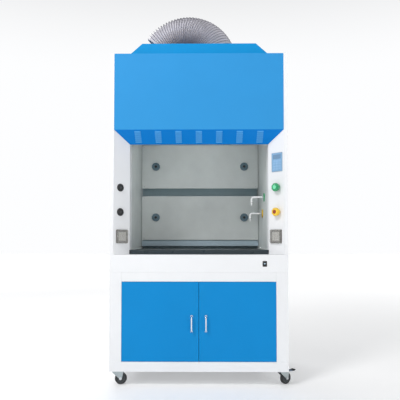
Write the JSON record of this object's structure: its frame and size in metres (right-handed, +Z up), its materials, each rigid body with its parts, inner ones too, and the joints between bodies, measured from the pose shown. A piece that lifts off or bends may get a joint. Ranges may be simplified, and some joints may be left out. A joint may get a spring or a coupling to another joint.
{
  "type": "fume hood",
  "caption": "Ducted laboratory fume hood on casters: vertical sash, bevelled service posts, work chamber with rear baffles, fan with bent exhaust duct, and a base cabinet with doors.",
  "frame": {"origin": "on the floor under the middle of the hood: the bottom centre of its bounding box", "axes": "+Z up, -Y towards the user who stands in front, +X to that user's right"},
  "size_m": [1.2418, 0.8283, 2.5182],
  "materials": {
    "white_paint": "semi-gloss powder coat",
    "blue_paint": "semi-gloss powder coat",
    "lining": "chemical-resistant laminate, satin",
    "worktop_slab": "solid resin slab, satin",
    "sink_plastic": "moulded polypropylene",
    "bright_metal": "plated",
    "zinc_steel": "zinc plated pressed steel",
    "iron": "painted cast weight",
    "black_plastic": "moulded",
    "wheel_tread": "moulded rubber tread on a plastic hub",
    "belt_rubber": "toothed belt",
    "grey_plastic": "moulded",
    "fan_plastic": "moulded polypropylene",
    "clear_cover": "clear moulded polycarbonate",
    "safety_glass": "toughened float glass",
    "anodised": "satin anodised extrusion",
    "green_plastic": "moulded",
    "yellow_plastic": "moulded",
    "display": "membrane panel",
    "spout_coat": "epoxy-coated brass",
    "duct_plastic": "translucent PVC with a wire helix"
  },
  "bodies": {
    "root": {"base_pan": "white_paint", "top_rail": "white_paint", "apron": "white_paint", "rear_panel": "white_paint", "roof_panel": "white_paint", "cabinet_side_left": "white_paint", "cabinet_side_right": "white_paint", "side_panel_left": "white_paint", "side_panel_right": "white_paint", "post_left": "white_paint", "post_right": "white_paint", "sash_jamb_left": "white_paint", "sash_jamb_right": "white_paint", "fascia": "blue_paint", "top_cowl": "blue_paint", "liner_left": "lining", "liner_right": "lining", "chamber_ceiling": "lining", "baffle_upper": "lining", "baffle_lower": "lining", "baffle_bottom": "lining", "worktop": "worktop_slab", "cup_sink": "sink_plastic", "sash_belt_left": "belt_rubber", "sash_belt_right": "belt_rubber", "socket_left": "grey_plastic", "socket_right": "grey_plastic", "fan_casing": "fan_plastic", "display_panel": "display", "water_spout": "spout_coat", "gas_spout": "spout_coat", "exhaust_duct": "duct_plastic"},
    "door_left": {"door_left": "blue_paint", "handle_left": "bright_metal"},
    "door_right": {"door_right": "blue_paint", "handle_right": "bright_metal"},
    "fork_front_left": {"caster_fork_front_left": "zinc_steel"},
    "wheel_front_left": {"caster_wheel_front_left": "wheel_tread"},
    "fork_front_right": {"caster_fork_front_right": "zinc_steel"},
    "wheel_front_right": {"caster_wheel_front_right": "wheel_tread"},
    "fork_rear_left": {"caster_fork_rear_left": "zinc_steel"},
    "wheel_rear_left": {"caster_wheel_rear_left": "wheel_tread"},
    "fork_rear_right": {"caster_fork_rear_right": "zinc_steel"},
    "wheel_rear_right": {"caster_wheel_rear_right": "wheel_tread"},
    "pedal_front_right": {"brake_pedal_front_right": "black_plastic"},
    "pedal_rear_left": {"brake_pedal_rear_left": "black_plastic"},
    "rocker": {"rocker": "black_plastic"},
    "lower_sash": {"sash_lower": "safety_glass", "sash_handle": "anodised"},
    "upper_sash": {"sash_upper": "safety_glass"},
    "counterweight_left": {"counterweight_left": "iron"},
    "belt_idler_left": {"belt_idler_left": "zinc_steel"},
    "counterweight_right": {"counterweight_right": "iron"},
    "belt_idler_right": {"belt_idler_right": "zinc_steel"},
    "pulley_shaft": {"pulley_shaft": "zinc_steel"},
    "impeller": {"impeller": "fan_plastic"},
    "water_knob": {"water_knob": "green_plastic"},
    "gas_knob": {"gas_knob": "yellow_plastic"},
    "socket_lid_left": {"socket_lid_left": "clear_cover"},
    "socket_lid_right": {"socket_lid_right": "clear_cover"}
  },
  "joints": [
    {"name": "door_left", "type": "hinge", "parent": "root", "child": "door_left", "pos_m": [-0.4717, -0.382, 0.4], "axis": [0, 0, -1], "range_deg": [0, 110]},
    {"name": "door_right", "type": "hinge", "parent": "root", "child": "door_right", "pos_m": [0.4717, -0.382, 0.4], "axis": [0, 0, 1], "range_deg": [0, 110]},
    {"name": "swivel_front_left", "type": "hinge", "parent": "root", "child": "fork_front_left", "pos_m": [-0.525, -0.326, 0.09], "axis": [0, 0, 1], "continuous": true},
    {"name": "spin_front_left", "type": "hinge", "parent": "fork_front_left", "child": "wheel_front_left", "pos_m": [-0.495, -0.326, 0.0375], "axis": [0, 1, 0], "continuous": true},
    {"name": "swivel_front_right", "type": "hinge", "parent": "root", "child": "fork_front_right", "pos_m": [0.525, -0.326, 0.09], "axis": [0, 0, 1], "continuous": true},
    {"name": "spin_front_right", "type": "hinge", "parent": "fork_front_right", "child": "wheel_front_right", "pos_m": [0.54958, -0.30879, 0.0375], "axis": [-0.5736, 0.8192, 0], "continuous": true},
    {"name": "brake_front_right", "type": "hinge", "parent": "fork_front_right", "child": "pedal_front_right", "pos_m": [0.55858, -0.30248, 0.079], "axis": [-0.5736, 0.8192, 0], "range_deg": [0, 18]},
    {"name": "swivel_rear_left", "type": "hinge", "parent": "root", "child": "fork_rear_left", "pos_m": [-0.525, 0.354, 0.09], "axis": [0, 0, 1], "continuous": true},
    {"name": "spin_rear_left", "type": "hinge", "parent": "fork_rear_left", "child": "wheel_rear_left", "pos_m": [-0.54958, 0.33679, 0.0375], "axis": [0.5736, -0.8192, 0], "continuous": true},
    {"name": "brake_rear_left", "type": "hinge", "parent": "fork_rear_left", "child": "pedal_rear_left", "pos_m": [-0.55858, 0.33048, 0.079], "axis": [0.5736, -0.8192, 0], "range_deg": [0, 18]},
    {"name": "swivel_rear_right", "type": "hinge", "parent": "root", "child": "fork_rear_right", "pos_m": [0.525, 0.354, 0.09], "axis": [0, 0, 1], "continuous": true},
    {"name": "spin_rear_right", "type": "hinge", "parent": "fork_rear_right", "child": "wheel_rear_right", "pos_m": [0.495, 0.354, 0.0375], "axis": [0, -1, 0], "continuous": true},
    {"name": "rocker_tilt", "type": "hinge", "parent": "root", "child": "rocker", "pos_m": [0.413, -0.381, 0.763], "axis": [1, 0, 0], "range_deg": [0, 16]},
    {"name": "sash_lower_slide", "type": "slide", "parent": "root", "child": "lower_sash", "axis": [0, 0, -1], "range_m": [0, 0.69]},
    {"name": "sash_upper_slide", "type": "slide", "parent": "root", "child": "upper_sash", "axis": [0, 0, -1], "range_m": [0, 0.345]},
    {"name": "counterweight_left_slide", "type": "slide", "parent": "root", "child": "counterweight_left", "axis": [0, 0, 1], "range_m": [0, 0.69]},
    {"name": "counterweight_right_slide", "type": "slide", "parent": "root", "child": "counterweight_right", "axis": [0, 0, 1], "range_m": [0, 0.69]},
    {"name": "pulley_shaft_turn", "type": "hinge", "parent": "root", "child": "pulley_shaft", "pos_m": [0, -0.22, 2.01], "axis": [1, 0, 0], "range_deg": [0, 1280]},
    {"name": "belt_idler_left_turn", "type": "hinge", "parent": "root", "child": "belt_idler_left", "pos_m": [-0.498, -0.22, 0.9], "axis": [1, 0, 0], "range_deg": [0, 1280]},
    {"name": "belt_idler_right_turn", "type": "hinge", "parent": "root", "child": "belt_idler_right", "pos_m": [0.498, -0.22, 0.9], "axis": [1, 0, 0], "range_deg": [0, 1280]},
    {"name": "impeller_spin", "type": "hinge", "parent": "root", "child": "impeller", "pos_m": [0.145, 0.014, 1.888], "axis": [0, 0, 1], "continuous": true},
    {"name": "water_knob_turn", "type": "hinge", "parent": "root", "child": "water_knob", "pos_m": [0.50169, -0.35069, 1.246], "axis": [-0.7071, -0.7071, 0], "range_deg": [0, 90]},
    {"name": "gas_knob_turn", "type": "hinge", "parent": "root", "child": "gas_knob", "pos_m": [0.50169, -0.35069, 1.09], "axis": [-0.7071, -0.7071, 0], "range_deg": [0, 90]},
    {"name": "socket_lid_left_hinge", "type": "hinge", "parent": "root", "child": "socket_lid_left", "pos_m": [-0.48543, -0.34857, 0.9775], "axis": [-0.7071, -0.7071, 0], "range_deg": [0, 105]},
    {"name": "socket_lid_right_hinge", "type": "hinge", "parent": "root", "child": "socket_lid_right", "pos_m": [0.48543, -0.34857, 0.9775], "axis": [-0.7071, 0.7071, 0], "range_deg": [0, 105]}
  ],
  "couplings": [
    {"joint": "sash_upper_slide", "follows": "sash_lower_slide", "ratio": 0.5},
    {"joint": "counterweight_left_slide", "follows": "sash_lower_slide", "ratio": 1},
    {"joint": "counterweight_right_slide", "follows": "sash_lower_slide", "ratio": 1},
    {"joint": "pulley_shaft_turn", "follows": "sash_lower_slide", "rad_per_m": 32.258},
    {"joint": "belt_idler_left_turn", "follows": "sash_lower_slide", "rad_per_m": 32.258},
    {"joint": "belt_idler_right_turn", "follows": "sash_lower_slide", "rad_per_m": 32.258}
  ]
}
